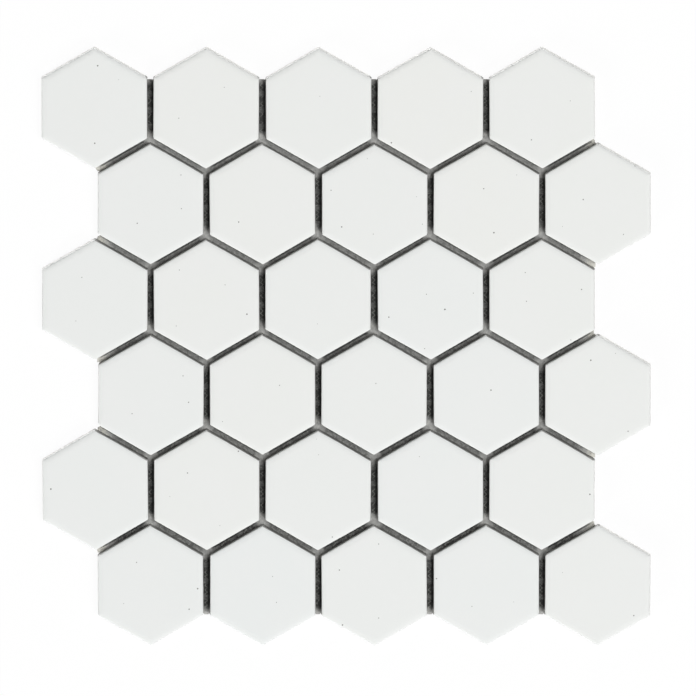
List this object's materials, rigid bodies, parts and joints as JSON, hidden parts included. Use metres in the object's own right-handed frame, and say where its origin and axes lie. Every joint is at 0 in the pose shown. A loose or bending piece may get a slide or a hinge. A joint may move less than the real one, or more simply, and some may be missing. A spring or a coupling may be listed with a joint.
{
  "type": "hexagon mosaic floor tile sheet",
  "caption": "Sheet of matt white porcelain hexagon floor tiles with cushioned edges, laid in staggered rows on a glass-fibre backing net.",
  "frame": {"origin": "middle of the sheet, on the underside of the backing net", "axes": "+Z out of the tile faces, +X along the rows, +Y up the rows so that row 1 is the far one"},
  "size_m": [0.2969, 0.2944, 0.0065],
  "materials": {
    "white_porcelain": "matt white glaze with a few pinholes",
    "glass_fibre_net": "open woven glass-fibre net with dried glue"
  },
  "bodies": {
    "root": {"backing_mesh": "glass_fibre_net", "tile_row1_1": "white_porcelain", "tile_row1_2": "white_porcelain", "tile_row1_3": "white_porcelain", "tile_row1_4": "white_porcelain", "tile_row1_5": "white_porcelain", "tile_row2_1": "white_porcelain", "tile_row2_2": "white_porcelain", "tile_row2_3": "white_porcelain", "tile_row2_4": "white_porcelain", "tile_row2_5": "white_porcelain", "tile_row3_1": "white_porcelain", "tile_row3_2": "white_porcelain", "tile_row3_3": "white_porcelain", "tile_row3_4": "white_porcelain", "tile_row3_5": "white_porcelain", "tile_row4_1": "white_porcelain", "tile_row4_2": "white_porcelain", "tile_row4_3": "white_porcelain", "tile_row4_4": "white_porcelain", "tile_row4_5": "white_porcelain", "tile_row5_1": "white_porcelain", "tile_row5_2": "white_porcelain", "tile_row5_3": "white_porcelain", "tile_row5_4": "white_porcelain", "tile_row5_5": "white_porcelain", "tile_row6_1": "white_porcelain", "tile_row6_2": "white_porcelain", "tile_row6_3": "white_porcelain", "tile_row6_4": "white_porcelain", "tile_row6_5": "white_porcelain"}
  },
  "joints": []
}
